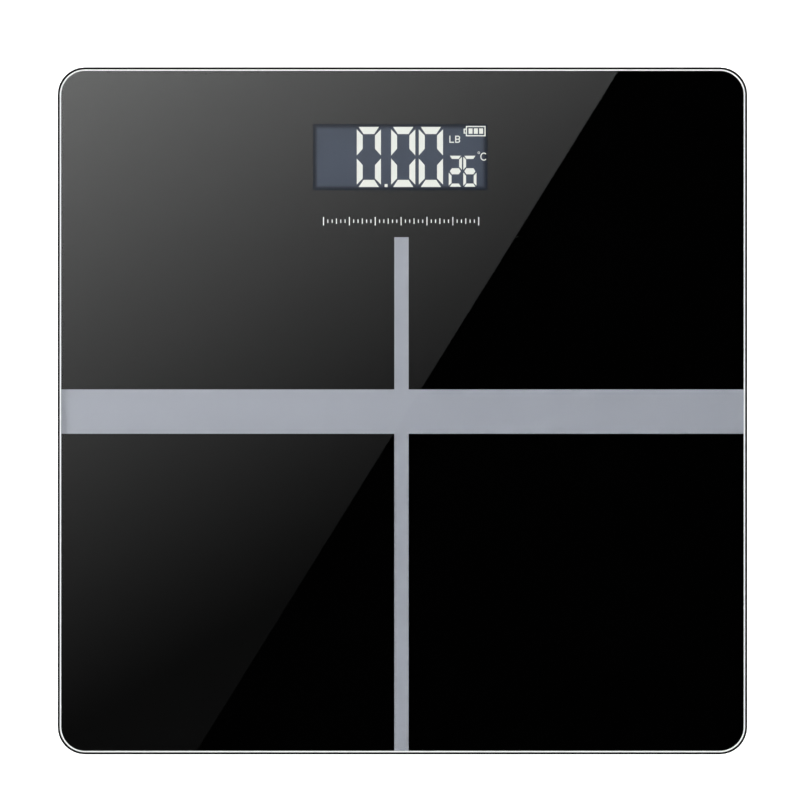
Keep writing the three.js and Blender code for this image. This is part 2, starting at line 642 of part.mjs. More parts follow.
function addBatteries() {
  for (const { name, y, facing } of BATTERY_ROWS) {
    const nubEnd = facing * (CONTACT_FACE - CLEARANCE);
    const shoulder = nubEnd - facing * NUB_HEIGHT;
    const tail = shoulder - facing * BATTERY_LENGTH;
    const [left, right] = [shoulder, tail].sort((a, b) => a - b);
    const body = rodAlongX(left, right, BATTERY_RADIUS, BATTERY_RADIUS, y, BATTERY_Z);
    const [nubLeft, nubRight] = [shoulder - facing * NUB_ROOT, nubEnd].sort((a, b) => a - b);
    const nub = rodAlongX(nubLeft, nubRight, NUB_RADIUS, NUB_RADIUS, y, BATTERY_Z);
    addMesh(name, body.add(nub), batteryWrap);
  }
}

// A flat blade across one bay end, from one y to another.
function blade(side, front, back) {
  const middle = side * (CONTACT_FACE + CONTACT_THICKNESS / 2);
  const half = CONTACT_HEIGHT / 2;
  const width = back - front;
  return slab(middle, (front + back) / 2, CONTACT_THICKNESS, width, BATTERY_Z - half, BATTERY_Z + half);
}

// The cone that a contact spring fills, on the bay end that a battery's negative end faces.
function springCone(side, y) {
  const foot = side * (CONTACT_FACE + CONTACT_THICKNESS / 2);
  const tip = side * (CONTACT_FACE - SPRING_LENGTH);
  return side > 0
    ? rodAlongX(tip, foot, SPRING_TIP_RADIUS, SPRING_BASE_RADIUS, y, BATTERY_Z)
    : rodAlongX(foot, tip, SPRING_BASE_RADIUS, SPRING_TIP_RADIUS, y, BATTERY_Z);
}

function contactTab(y) {
  const half = CONTACT_THICKNESS / 2;
  const end = BAY_LENGTH / 2 + TAB_LENGTH;
  return block(CONTACT_FACE, end, y - TAB_WIDTH / 2, y + TAB_WIDTH / 2, BATTERY_Z - half, BATTERY_Z + half);
}

function addContacts() {
  const [first, second] = BATTERY_ROWS;
  const half = CONTACT_WIDTH / 2;
  const bridge = blade(-1, second.y - half, first.y + half).add(springCone(-1, first.y));
  addMesh("battery_contact_bridge", bridge, springMetal);
  const positive = blade(1, first.y - half, first.y + half).add(contactTab(first.y));
  addMesh("battery_contact_positive", positive, springMetal);
  const plate = blade(1, second.y - half, second.y + half);
  const negative = joined([plate, springCone(1, second.y), contactTab(second.y)]);
  addMesh("battery_contact_negative", negative, springMetal);
}

// ---- Display ---------------------------------------------------------------------------------------

function frameAt(outerWidth, outerDepth, innerWidth, innerDepth, bottom, top) {
  const outer = slab(WINDOW_OFFSET_X, WINDOW_Y, outerWidth, outerDepth, bottom, top);
  const below = bottom - CLEARANCE;
  const above = top + CLEARANCE;
  return outer.subtract(slab(WINDOW_OFFSET_X, WINDOW_Y, innerWidth, innerDepth, below, above));
}

function displayHolder() {
  const fit = 2 * CLEARANCE;
  const lower = frameAt(
    HOLDER_WIDTH,
    HOLDER_DEPTH,
    LCD_WIDTH - 2 * LCD_LEDGE,
    LCD_DEPTH - 2 * LCD_LEDGE,
    HOLDER_BOTTOM,
    BACKLIGHT_TOP,
  );
  const upper = frameAt(HOLDER_WIDTH, HOLDER_DEPTH, LCD_WIDTH + fit, LCD_DEPTH + fit, BACKLIGHT_TOP, LCD_TOP);
  const earTop = HOLDER_BOTTOM + EAR_HEIGHT;
  const ears = EAR_PLACES.map(({ x, y }) => {
    const inward = Math.sign(WINDOW_OFFSET_X - x) * (EAR_REACH + HOLDER_WALL / 2);
    const [left, right] = [x, x + inward].sort((a, b) => a - b);
    const neck = block(left, right, y - EAR_RADIUS / 2, y + EAR_RADIUS / 2, HOLDER_BOTTOM, earTop);
    return post(x, y, EAR_RADIUS, HOLDER_BOTTOM, earTop).add(neck);
  });
  const pocket = slab(
    WINDOW_OFFSET_X,
    WINDOW_Y,
    LCD_WIDTH - 2 * LCD_LEDGE,
    LCD_DEPTH - 2 * LCD_LEDGE,
    BOARD_TOP,
    LCD_TOP,
  );
  const radius = SCREW_RADIUS + CLEARANCE;
  const holes = EAR_PLACES.map(({ x, y }) => post(x, y, radius, BOARD_TOP, earTop + CLEARANCE));
  return joined([lower, upper, ...ears]).subtract(joined([pocket, ...holes]));
}

function addDisplay() {
  const openWidth = WINDOW_WIDTH + 2 * GASKET_REVEAL;
  const openDepth = WINDOW_DEPTH + 2 * GASKET_REVEAL;
  const gasketBottom = LCD_TOP + CLEARANCE;
  const gasketTop = gasketBottom + GASKET_THICKNESS;
  const gasket = frameAt(LCD_WIDTH, LCD_DEPTH, openWidth, openDepth, gasketBottom, gasketTop);
  addMesh("display_gasket", gasket, foam);
  const panel = slab(WINDOW_OFFSET_X, WINDOW_Y, LCD_WIDTH, LCD_DEPTH, LCD_BOTTOM, LCD_TOP);
  addMesh("lcd_panel", panel, lcdGlass);
  const lightWidth = WINDOW_WIDTH + 2 * BACKLIGHT_BORDER;
  const lightDepth = WINDOW_DEPTH + 2 * BACKLIGHT_BORDER;
  const light = slab(WINDOW_OFFSET_X, WINDOW_Y, lightWidth, lightDepth, HOLDER_BOTTOM, BACKLIGHT_TOP);
  addMesh("backlight_panel", light, lightGuide);
  for (const [name, side] of [["front", -1], ["back", 1]]) {
    const y = WINDOW_Y + side * (lightDepth / 2 + CLEARANCE + ZEBRA_WIDTH / 2);
    const strip = slab(WINDOW_OFFSET_X, y, WINDOW_WIDTH, ZEBRA_WIDTH, HOLDER_BOTTOM, BACKLIGHT_TOP);
    addMesh(`zebra_strip_${name}`, strip, elastomer);
  }
  addMesh("display_holder", displayHolder(), greyPlastic);
}

// ---- Board -----------------------------------------------------------------------------------------

function mainBoard() {
  const plate = block(BOARD_LEFT, BOARD_RIGHT, BOARD_FRONT, BOARD_BACK, BOARD_BOTTOM, BOARD_TOP);
  const radius = SCREW_RADIUS + CLEARANCE;
  const under = BOARD_BOTTOM - CLEARANCE;
  const holes = EAR_PLACES.map(({ x, y }) => post(x, y, radius, under, HOLDER_BOTTOM));
  return plate.subtract(joined(holes));
}

function boardScrew({ x, y }) {
  const headBottom = HOLDER_BOTTOM + EAR_HEIGHT + CLEARANCE;
  const head = post(x, y, SCREW_HEAD_RADIUS, headBottom, headBottom + SCREW_HEAD_HEIGHT);
  return head.add(post(x, y, SCREW_RADIUS, FLOOR_TOP + SCREW_POINT, headBottom + SCREW_HEAD_HEIGHT / 2));
}

function temperatureSensor(x, y) {
  const z = BOARD_TOP + CLEARANCE + 2 * SENSOR_RADIUS;
  const sphere = new THREE.SphereGeometry(SENSOR_RADIUS, SENSOR_FACETS, SENSOR_FACETS / 2);
  const bead = solidFrom(sphere.translate(x, y, z));
  const legs = [-1, 1].map((side) =>
    slab(x, y + side * SENSOR_LEG, SENSOR_LEG, SENSOR_LEG, BOARD_TOP + CLEARANCE, z),
  );
  return joined([bead, ...legs]);
}

function addBoard() {
  const seat = BOARD_TOP + CLEARANCE;
  addMesh("main_board", mainBoard(), circuitBoard);
  EAR_PLACES.forEach((place, i) => addMesh(`board_screw_${i + 1}`, boardScrew(place), steel));
  const blob = [[0, seat]];
  for (let step = 0; step <= BLOB_STEPS; step += 1) {
    const angle = (step / BLOB_STEPS) * QUARTER;
    blob.push([BLOB_RADIUS * Math.cos(angle), seat + BLOB_HEIGHT * Math.sin(angle)]);
  }
  const blobY = BOARD_BACK - BLOB_RADIUS - 2 * BOARD_MARGIN;
  addMesh("controller_blob", turned(blob, HIDDEN_FACETS).translate(TAIL_X, blobY, 0), epoxy);
  const chip = slab(TAIL_X, WINDOW_Y, CHIP.width, CHIP.depth, seat, seat + CHIP.height);
  addMesh("amplifier_chip", chip, epoxy);
  addMesh("temperature_sensor", temperatureSensor(BOARD_RIGHT - 2 * SENSOR_RADIUS, WINDOW_Y), epoxy);
}

// ---- Unit button and its switch --------------------------------------------------------------------

function addButton() {
  const seat = FLOOR_TOP + CLEARANCE;
  const capTop = seat + BUTTON_FLANGE_THICKNESS;
  const cap = post(BUTTON_X, BUTTON_Y, BUTTON_RADIUS, BASE_BOTTOM - BUTTON_PROUD, capTop, FOOT_FACETS);
  const collar = post(BUTTON_X, BUTTON_Y, BUTTON_RADIUS + BUTTON_FLANGE, seat, capTop, FOOT_FACETS);
  addMesh("unit_button", cap.add(collar), greyPlastic);
  const plungerBottom = capTop + CLEARANCE;
  const plungerTop = plungerBottom + PLUNGER_LENGTH;
  addMesh("switch_plunger", post(BUTTON_X, BUTTON_Y, PLUNGER_RADIUS, plungerBottom, plungerTop), epoxy);
  const bodyBottom = capTop + BUTTON_TRAVEL + CLEARANCE;
  const body = slab(BUTTON_X, BUTTON_Y, SWITCH_SIZE, SWITCH_SIZE, bodyBottom, BOARD_BOTTOM - CLEARANCE);
  const boreTop = plungerTop + BUTTON_TRAVEL + CLEARANCE / 2;
  const bore = post(BUTTON_X, BUTTON_Y, PLUNGER_RADIUS + CLEARANCE, plungerBottom, boreTop);
  addMesh("unit_switch", body.subtract(bore), steel);
}

// ---- Feet ------------------------------------------------------------------------------------------

function footPad() {
  const profile = [
    [0, 0],
    [PAD_RADIUS - PAD_EDGE, 0],
    [PAD_RADIUS, PAD_EDGE],
    [PAD_RADIUS, PAD_TOP],
    [0, PAD_TOP],
  ];
  return turned(profile, FOOT_FACETS);
}

function footCup() {
  const recessTop = PAD_EXPOSED + PAD_RECESS;
  const recessRadius = PAD_RADIUS + CLEARANCE;
  const shelf = CELL_BOTTOM - CLEARANCE;
  const profile = [
    [0, recessTop],
    [recessRadius, recessTop],
    [recessRadius, PAD_EXPOSED],
    [CUP_RADIUS - CUP_EDGE, PAD_EXPOSED],
    [CUP_RADIUS, PAD_EXPOSED + CUP_EDGE],
    [CUP_RADIUS, FLANGE_REST],
    [CUP_RADIUS + CUP_FLANGE, FLANGE_REST],
    [CUP_RADIUS + CUP_FLANGE, CUP_TOP],
    [CUP_BORE, CUP_TOP],
    [CUP_BORE, shelf],
    [CUP_BORE - CELL_SHELF, shelf],
    [CUP_BORE - CELL_SHELF, CUP_FLOOR_TOP],
    [0, CUP_FLOOR_TOP],
  ];
  return turned(profile, FOOT_FACETS);
}

// A round plate with two flat sides and a slot that leaves a tongue joined at its -X end.
function loadCell() {
  const flatAngle = Math.asin(CELL_HALF_DEPTH / CELL_RADIUS);
  const outline = new THREE.Shape();
  outline.absarc(0, 0, CELL_RADIUS, -flatAngle, flatAngle, false);
  outline.absarc(0, 0, CELL_RADIUS, Math.PI - flatAngle, Math.PI + flatAngle, false);
  outline.closePath();
  const outer = TONGUE_HALF_WIDTH + CELL_SLOT;
  const slot = new THREE.Path();
  slot.moveTo(SLOT_START_X, -outer);
  slot.lineTo(SLOT_END_X, -outer);
  slot.lineTo(SLOT_END_X, outer);
  slot.lineTo(SLOT_START_X, outer);
  slot.lineTo(SLOT_START_X, TONGUE_HALF_WIDTH);
  slot.lineTo(SLOT_END_X - CELL_SLOT, TONGUE_HALF_WIDTH);
  slot.lineTo(SLOT_END_X - CELL_SLOT, -TONGUE_HALF_WIDTH);
  slot.lineTo(SLOT_START_X, -TONGUE_HALF_WIDTH);
  slot.closePath();
  outline.holes.push(slot);
  const options = { depth: CELL_THICKNESS, bevelEnabled: false, curveSegments: CELL_STEPS };
  return solidFrom(new THREE.ExtrudeGeometry(outline, options).translate(0, 0, CELL_BOTTOM));
}

function loadCellCarrier() {
  const plateBottom = COLLAR_TOP + CLEARANCE;
  const plateTop = plateBottom + CARRIER_PLATE;
  const profile = [
    [0, CELL_TOP + CLEARANCE],
    [BOSS_RADIUS, CELL_TOP + CLEARANCE],
    [BOSS_RADIUS, plateBottom],
    [COLLAR_RADIUS - CLEARANCE, plateBottom],
    [COLLAR_RADIUS - CLEARANCE, plateTop],
    [CROWN_OUTER_RADIUS, plateTop],
    [CROWN_OUTER_RADIUS, UNDER_INK],
    [CROWN_INNER_RADIUS, UNDER_INK],
    [CROWN_INNER_RADIUS, plateTop],
    [0, plateTop],
  ];
  return turned(profile, HIDDEN_FACETS);
}

function strainGauge() {
  const top = CELL_BOTTOM - CLEARANCE;
  return slab(GAUGE.x, 0, GAUGE.width, GAUGE.depth, top - GAUGE.thickness, top);
}

function addFeet() {
  for (const { name, x, y } of footPlaces()) {
    const foot = new THREE.Group();
    foot.position.set(x, y, 0);
    scale.add(foot);
    addMesh(`foot_pad_${name}`, footPad(), rubber, foot);
    addMesh(`foot_cup_${name}`, footCup(), blackPlastic, foot);
    addMesh(`load_cell_${name}`, loadCell(), steel, foot);
    addMesh(`strain_gauge_${name}`, strainGauge(), gaugeResin, foot);
    addMesh(`load_cell_carrier_${name}`, loadCellCarrier(), greyPlastic, foot);
  }
}

// ---- Leads -----------------------------------------------------------------------------------------

// The leads land side by side on the board's tail, in this order from -X to +X.
const LANDING_ORDER = ["positive", "negative", "back_left", "front_left", "front_right", "back_right"];
const LANDING_Y = BOARD_FRONT + LEAD_LAND;
const LANDING_Z = BOARD_TOP + CLEARANCE + LEAD_RADIUS;

function landingX(name) {
  return BOARD_RIGHT - BOARD_TAIL + LEAD_RADIUS + (0.5 + LANDING_ORDER.indexOf(name)) * LEAD_SPACING;
}

// Each load cell lead leaves its collar along Y, crosses over to its landing and climbs onto the board.
function addCellLeads() {
  for (const place of footPlaces()) {
    const { name, y, signY } = place;
    const startX = leadExit(place);
    const endX = landingX(name);
    const bayFront = BAY_Y - BAY_DEPTH / 2 - BAY_WALL;
    const crossingY = signY < 0 ? bayFront - CELL_LEAD_TO_BAY : BOARD_FRONT - 4 * LEAD_SPACING;
    const bend = Math.sign(endX - startX) * LEAD_SPACING;
    const route = [
      [startX, y - signY * CELL_HALF_DEPTH, LEAD_Z],
      [startX, crossingY + signY * LEAD_SPACING, LEAD_Z],
      [startX + bend, crossingY, LEAD_Z],
      [endX - bend, crossingY, LEAD_Z],
      [endX, crossingY + LEAD_SPACING, LEAD_Z],
      [endX, BOARD_FRONT - 2 * LEAD_SPACING, LEAD_Z],
      [endX, BOARD_FRONT - LEAD_SPACING, LANDING_Z],
      [endX, LANDING_Y, LANDING_Z],
    ];
    addMesh(`load_cell_lead_${name}`, lead(route), leadInsulation);
  }
}

function addBatteryLeads() {
  const startX = BAY_LENGTH / 2 + TAB_LENGTH + CLEARANCE;
  BATTERY_ROWS.forEach(({ y }, i) => {
    const name = LANDING_ORDER[i];
    const endX = landingX(name);
    const route = [
      [startX, y, BATTERY_Z],
      [endX - LEAD_SPACING, y, BATTERY_Z],
      [endX, y + LEAD_SPACING, LANDING_Z],
      [endX, LANDING_Y, LANDING_Z],
    ];
    addMesh(`battery_lead_${name}`, lead(route), leadInsulation);
  });
}

// ---- Assembly --------------------------------------------------------------------------------------

addMesh("glass_platform", glassPlatform(), clearGlass);
addMesh("silver_cross_print", silverCrossPrint(), silverInk);
addMesh("black_back_print", blackBackPrint(), blackInk);
addTapes();
addMesh("base_tray", baseTray(), blackPlastic);
addMesh("battery_door", batteryDoor(), blackPlastic);
addBatteries();
addContacts();
addDisplay();
addBoard();
addButton();
addFeet();
addCellLeads();
addBatteryLeads();

export default scale;
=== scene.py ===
# Digital bathroom scale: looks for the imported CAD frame. Metres, +Z up, +Y towards the display edge.
import math

import bpy
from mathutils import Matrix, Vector

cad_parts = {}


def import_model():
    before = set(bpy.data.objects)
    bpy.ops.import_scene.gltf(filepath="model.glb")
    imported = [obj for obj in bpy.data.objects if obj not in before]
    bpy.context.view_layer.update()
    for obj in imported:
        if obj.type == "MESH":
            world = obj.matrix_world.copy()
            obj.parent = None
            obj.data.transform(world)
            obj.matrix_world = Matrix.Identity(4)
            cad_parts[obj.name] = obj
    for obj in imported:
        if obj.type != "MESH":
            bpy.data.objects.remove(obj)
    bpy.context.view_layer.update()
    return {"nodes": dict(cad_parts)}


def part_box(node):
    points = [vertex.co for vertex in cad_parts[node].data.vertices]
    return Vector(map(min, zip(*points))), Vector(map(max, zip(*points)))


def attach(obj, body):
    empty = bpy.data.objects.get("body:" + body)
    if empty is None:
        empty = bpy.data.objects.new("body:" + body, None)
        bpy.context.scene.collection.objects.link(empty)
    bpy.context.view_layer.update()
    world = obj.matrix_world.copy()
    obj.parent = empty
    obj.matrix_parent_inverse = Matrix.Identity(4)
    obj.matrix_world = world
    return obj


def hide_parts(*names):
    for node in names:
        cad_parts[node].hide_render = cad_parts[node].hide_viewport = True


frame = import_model()

MM = 0.001
NODES = frame["nodes"]
FEET = ("front_left", "front_right", "back_left", "back_right")


# ---- Places and sizes -------------------------------------------------------------------------------

def span(node):
    """Lowest corner, highest corner and middle of a CAD node."""
    low, high = (Vector(corner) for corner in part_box(node))
    return low, high, (low + high) / 2


GLASS_LOW, GLASS_HIGH, GLASS_MIDDLE = span("glass_platform")
SILVER_LOW, SILVER_HIGH, _ = span("silver_cross_print")
_, LCD_HIGH, LCD_MIDDLE = span("lcd_panel")
DOOR_LOW, DOOR_HIGH, DOOR_MIDDLE = span("battery_door")
GLASS_SIZE = GLASS_HIGH - GLASS_LOW

CORNER_RADIUS = 10.35 * MM  # of the glass
ARRIS = 0.55 * MM  # ground edge of the glass
GLASS_INSET = 0.25 * MM  # of the cut side from the CAD plate, for the grinding
LIP_DEPTH = 1.2 * MM  # from the back of the glass to below the top of the base's rim
WINDOW_WIDTH = 70.9 * MM
WINDOW_DEPTH = 27.0 * MM
WINDOW_LEFT = LCD_MIDDLE.x - WINDOW_WIDTH / 2
WINDOW_BOTTOM = LCD_MIDDLE.y - WINDOW_DEPTH / 2

LABEL_WIDTH = 82.0 * MM  # of the blank label, which lies in the base's recess
LABEL_DEPTH = 44.0 * MM
LABEL_MIDDLE = Vector((0.0, -52.0 * MM))
LABEL_CEILING = 5.4 * MM

PICTURE_WIDTH = 324.9 * MM  # what the picture spans at the height of the inks
PICTURE_MIDDLE = Vector((-1.0 * MM, 4.4 * MM))
LENS = 1000.0
SENSOR = 36.0
CAMERA_HEIGHT = SILVER_HIGH.z + PICTURE_WIDTH * LENS / SENSOR

SOFTBOX_SIZE = 1.8
SOFTBOX_FADE = 0.3  # share of its width over which it fades
SOFTBOX_POWER = 24.5
SOFTBOX_DISTANCE = 2.0
SOFTBOX_ELEVATION = 52

FLOOR_REACH = 40.0

# The card overhead whose mirror image is the soft highlight on the glass.
CARD_RISE = 1.2  # above the glass
CARD_REACH = 0.4  # past both ends of the highlight's edge
CARD_WIDTH = 1.2
CARD_REFLECTANCE = 0.083  # share of the card's light that the glass sends to the camera
CARD_SPREAD = 1.0 + CARD_RISE / (CAMERA_HEIGHT - GLASS_HIGH.z)
HIGHLIGHT_TOP = Vector((87.9 * MM, 138.4 * MM))  # two points of the highlight's edge on the glass
HIGHLIGHT_BOTTOM = Vector((-83.9 * MM, -138.6 * MM))
HIGHLIGHT_CORNER = Vector((-135.0 * MM, 134.0 * MM))  # where it is brightest
HIGHLIGHT_PEAK = 104.0  # display value there, from 0 to 255
HIGHLIGHT_LEAST = 10.0  # display value where it is darkest
HIGHLIGHT_FALL = Vector((-0.215, 0.355)) / MM  # display values per metre
SRGB_OFFSET = 14.0  # of the sRGB curve, in display values
SRGB_POWER = 2.4


# ---- Node helpers -----------------------------------------------------------------------------------

class Graph:
    """The node tree of a material, a light or the world, with short calls for the nodes that repeat."""

    def __init__(self, owner, output):
        owner.use_nodes = True
        self.owner = owner
        self.tree = owner.node_tree
        self.tree.nodes.clear()
        self.output = self.tree.nodes.new(output)

    def feed(self, socket, value):
        if isinstance(value, bpy.types.NodeSocket):
            self.tree.links.new(value, socket)
        else:
            socket.default_value = value

    def node(self, kind, inputs=None, **settings):
        made = self.tree.nodes.new(kind)
        for key, value in settings.items():
            setattr(made, key, value)
        for key, value in (inputs or {}).items():
            self.feed(made.inputs[key], value)
        return made

    def math(self, operation, *values):
        return self.node("ShaderNodeMath", dict(enumerate(values)), operation=operation).outputs[0]

    def place(self):
        return self.node("ShaderNodeTexCoord").outputs["Object"]

    def stretched(self, x, y, z):
        """The place times a factor for each axis, so that noise is finer along the large ones."""
        inputs = {0: self.place(), 1: (x, y, z)}
        return self.node("ShaderNodeVectorMath", inputs, operation="MULTIPLY").outputs[0]

    def axes(self, vector):
        """The X, Y and Z sockets of a vector."""
        return self.node("ShaderNodeSeparateXYZ", {"Vector": vector}).outputs

    def inward(self, middle, width, depth):
        """How far inside the edge of a rectangle a point lies."""
        x, y, _ = self.axes(self.place())
        across = self.math("ABSOLUTE", self.math("SUBTRACT", x, middle.x))
        along = self.math("ABSOLUTE", self.math("SUBTRACT", y, middle.y))
        sideways = self.math("SUBTRACT", width / 2, across)
        return self.math("MINIMUM", sideways, self.math("SUBTRACT", depth / 2, along))

    def noise(self, grain, detail=2.0, vector=None):
        """Noise whose features are about grain metres across."""
        inputs = {"Vector": vector or self.place(), "Scale": 1.0 / grain, "Detail": detail}
        return self.node("ShaderNodeTexNoise", inputs).outputs["Fac"]

    def cells(self, size):
        """Distance from the middles of random cells about size metres across."""
        inputs = {"Vector": self.place(), "Scale": 1.0 / size}
        return self.node("ShaderNodeTexVoronoi", inputs).outputs["Distance"]

    def blend(self, factor, low, high):
        mixer = self.node("ShaderNodeMix", data_type="RGBA")
        for index, value in ((0, factor), (6, low), (7, high)):
            self.feed(mixer.inputs[index], value)
        return mixer.outputs[2]

    def spread(self, value, low, high, from_low=0.0, from_high=1.0, smooth=False):
        """value mapped from one range to another."""
        kind = "SMOOTHSTEP" if smooth else "LINEAR"
        inputs = {
            "Value": value,
            "From Min": from_low,
            "From Max": from_high,
            "To Min": low,
            "To Max": high,
        }
        return self.node("ShaderNodeMapRange", inputs, interpolation_type=kind).outputs["Result"]

    def bump(self, height, depth, strength=1.0):
        inputs = {"Height": height, "Distance": depth, "Strength": strength}
        return self.node("ShaderNodeBump", inputs).outputs["Normal"]

    def principled(self, **inputs):
        named = {key.replace("_", " "): value for key, value in inputs.items()}
        return self.node("ShaderNodeBsdfPrincipled", named).outputs["BSDF"]

    def choose(self, factor, shader, other):
        """shader where the factor is 0 and other where it is 1."""
        return self.node("ShaderNodeMixShader", {0: factor, 1: shader, 2: other}).outputs[0]

    def see_through(self):
        return self.node("ShaderNodeBsdfTransparent").outputs[0]

    def ray(self, kind):
        return self.node("ShaderNodeLightPath").outputs[kind]

    def finish(self, shader):
        self.tree.links.new(shader, self.output.inputs["Surface"])
        return self.owner


def material_graph(name):
    return Graph(bpy.data.materials.new(name), "ShaderNodeOutputMaterial")


def colour(red, green=None, blue=None):
    return (red, red if green is None else green, red if blue is None else blue, 1.0)


# ---- Materials --------------------------------------------------------------------------------------

def without_shadow(g, shader):
    """The shader for everything but shadows, so that light reaches what the glass covers."""
    return g.choose(g.ray("Is Shadow Ray"), shader, g.see_through())


def glass(name, **extra):
    g = material_graph(name)
    shader = g.principled(
        Base_Color=colour(0.97, 0.99, 0.98),
        Roughness=0.0,
        IOR=1.52,
        Transmission_Weight=1.0,
        **extra,
    )
    return g.finish(without_shadow(g, shader))


def clear_glass():
    return glass("clear_glass")


def window_film():
    """The back of the glass over the display, coated so that it mirrors next to nothing head on."""
    return glass("window_film", Specular_Tint=colour(0.0))


def ground_arris():
    """The narrow ground edge, white from its fine scratches."""
    g = material_graph("ground_arris")
    mottle = g.noise(0.4 * MM, detail=3.0)
    tone = g.blend(mottle, colour(0.90, 0.93, 0.92), colour(0.97, 0.99, 0.98))
    ground = g.principled(Base_Color=tone, Roughness=0.5, Normal=g.bump(mottle, 0.02 * MM))
    return g.finish(without_shadow(g, ground))


def glass_edge():
    """The side of the glass, cut and dull-polished, with the green of iron in it."""
    g = material_graph("glass_edge")
    lines = g.noise(6.0 * MM, detail=3.0, vector=g.stretched(1.0, 1.0, 12.0))
    tone = g.blend(lines, colour(0.055, 0.088, 0.080), colour(0.095, 0.140, 0.128))
    shader = g.principled(
        Base_Color=tone,
        Roughness=g.spread(lines, 0.12, 0.3),
        IOR=1.52,
        Coat_Weight=0.4,
        Coat_Roughness=0.08,
        Normal=g.bump(lines, 0.01 * MM),
    )
    return g.finish(without_shadow(g, shader))


def black_ink():
    g = material_graph("black_ink")
    cloud = g.noise(20.0 * MM)
    tone = g.blend(cloud, colour(0.0002), colour(0.0006))
    rough = g.spread(cloud, 0.6, 0.8)
    return g.finish(g.principled(Base_Color=tone, Roughness=rough, Specular_IOR_Level=0.0))


def silver_ink():
    """Silver screen ink: an even satin grey with a very fine flake."""
    g = material_graph("silver_ink")
    flake = g.noise(0.35 * MM, detail=3.0)
    tone = g.blend(flake, colour(0.299, 0.308, 0.356), colour(0.356, 0.368, 0.423))
    shader = g.principled(
        Base_Color=tone,
        Roughness=0.45,
        Specular_IOR_Level=0.3,
        Normal=g.bump(flake, 0.01 * MM),
    )
    return g.finish(shader)


def white_ink():
    g = material_graph("white_ink")
    tone = g.blend(g.noise(0.5 * MM), colour(0.84), colour(0.92))
    return g.finish(g.principled(Base_Color=tone, Roughness=0.5))


def moulded_plastic(name, dark, light):
    """Moulded plastic with the fine pitted grain of a spark-eroded tool."""
    g = material_graph(name)
    pits = g.noise(0.25 * MM, detail=3.0)
    wear = g.noise(30.0 * MM, detail=4.0)
    shader = g.principled(
        Base_Color=g.blend(g.math("MULTIPLY", pits, wear), dark, light),
        Roughness=g.spread(wear, 0.47, 0.55, 0.3, 0.7),
        Specular_IOR_Level=0.3,
        Normal=g.bump(pits, 0.02 * MM, strength=0.8),
    )
    return g.finish(shader)


def lip_plastic():
    """The polished top of the rim, which frames the glass with a black line."""
    g = material_graph("lip_plastic")
    tone = g.blend(g.noise(20.0 * MM), colour(0.0005), colour(0.0015))
    return g.finish(g.principled(Base_Color=tone, Roughness=0.5, Specular_IOR_Level=0.03))


def label_foil():
    """The blank rating label: brushed silver foil with a thin dark line inside its edge."""
    g = material_graph("label_foil")
    inward = g.inward(LABEL_MIDDLE, LABEL_WIDTH, LABEL_DEPTH)
    border = g.math("COMPARE", inward, 2.2 * MM, 0.2 * MM)
    lines = g.noise(6.0 * MM, detail=3.0, vector=g.stretched(1.0, 30.0, 1.0))
    foil = g.blend(lines, colour(0.42, 0.43, 0.44), colour(0.56, 0.57, 0.58))
    shader = g.principled(
        Base_Color=g.blend(border, foil, colour(0.03)),
        Metallic=0.6,
        Roughness=g.spread(lines, 0.4, 0.55),
    )
    return g.finish(shader)


def foam():
    g = material_graph("foam")
    cells = g.cells(0.3 * MM)
    tone = g.blend(cells, colour(0.008), colour(0.03))
    return g.finish(g.principled(Base_Color=tone, Roughness=0.95, Normal=g.bump(cells, 0.05 * MM)))


def lcd_field():
    """The slate ground of the display, darker along its edges: painted shade for the shadow of the window's
    edges, together with the backlight's fall-off.
    """
    g = material_graph("lcd_field")
    inward = g.inward(LCD_MIDDLE, WINDOW_WIDTH, WINDOW_DEPTH)
    # even is 0 at the window's edges and 1 inside them, so it sets where the painted shade lies.
    even = g.spread(inward, 0.0, 1.0, 0.35 * MM, 2.6 * MM, smooth=True)
    lit = g.blend(g.noise(0.2 * MM), colour(0.035, 0.044, 0.064), colour(0.039, 0.048, 0.070))
    # The near-black edge colour is painted shade. The emission takes it too, so the edges glow less.
    tone = g.blend(even, colour(0.0015, 0.005, 0.013), lit)
    shader = g.principled(
        Base_Color=tone,
        Roughness=0.5,
        Specular_IOR_Level=0.0,
        Emission_Color=tone,
        Emission_Strength=0.45,
    )
    return g.finish(shader)


def lit_segment():
    g = material_graph("lit_segment")
    tone = g.blend(g.noise(1.5 * MM), colour(0.785, 0.790, 0.745), colour(0.815, 0.820, 0.775))
    shader = g.principled(
        Base_Color=colour(0.02),
        Roughness=0.5,
        Emission_Color=tone,
        Emission_Strength=1.0,
    )
    return g.finish(shader)


def light_guide():
    g = material_graph("light_guide")
    tone = g.blend(g.cells(0.8 * MM), colour(0.9, 0.93, 0.97), colour(0.7, 0.75, 0.82))
    return g.finish(g.principled(Base_Color=tone, Roughness=0.35))


def elastomer():
    """Conductive rubber in thin stripes across its length."""
    g = material_graph("elastomer")
    wave = g.node("ShaderNodeTexWave", {"Vector": g.place(), "Scale": 1.0 / (2.0 * MM)})
    tone = g.blend(wave.outputs["Fac"], colour(0.02), colour(0.42, 0.43, 0.45))
    return g.finish(g.principled(Base_Color=tone, Roughness=0.8))


def circuit_board():
    """Green solder mask over copper tracks."""
    g = material_graph("circuit_board")
    inputs = {
        "Vector": g.place(),
        "Color1": colour(0.010, 0.085, 0.035),
        "Color2": colour(0.013, 0.11, 0.045),
        "Mortar": colour(0.05, 0.20, 0.07),
        "Scale": 1.0 / (6.0 * MM),
        "Mortar Size": 0.04,
    }
    tracks = g.node("ShaderNodeTexBrick", inputs).outputs
    relief = g.bump(tracks["Fac"], 0.03 * MM)
    return g.finish(g.principled(Base_Color=tracks["Color"], Roughness=0.35, Normal=relief))


def epoxy():
    g = material_graph("epoxy")
    flow = g.noise(2.0 * MM)
    shader = g.principled(
        Base_Color=g.blend(flow, colour(0.006), colour(0.014)),
        Roughness=g.spread(flow, 0.2, 0.4),
        Normal=g.bump(flow, 0.05 * MM),
    )
    return g.finish(shader)


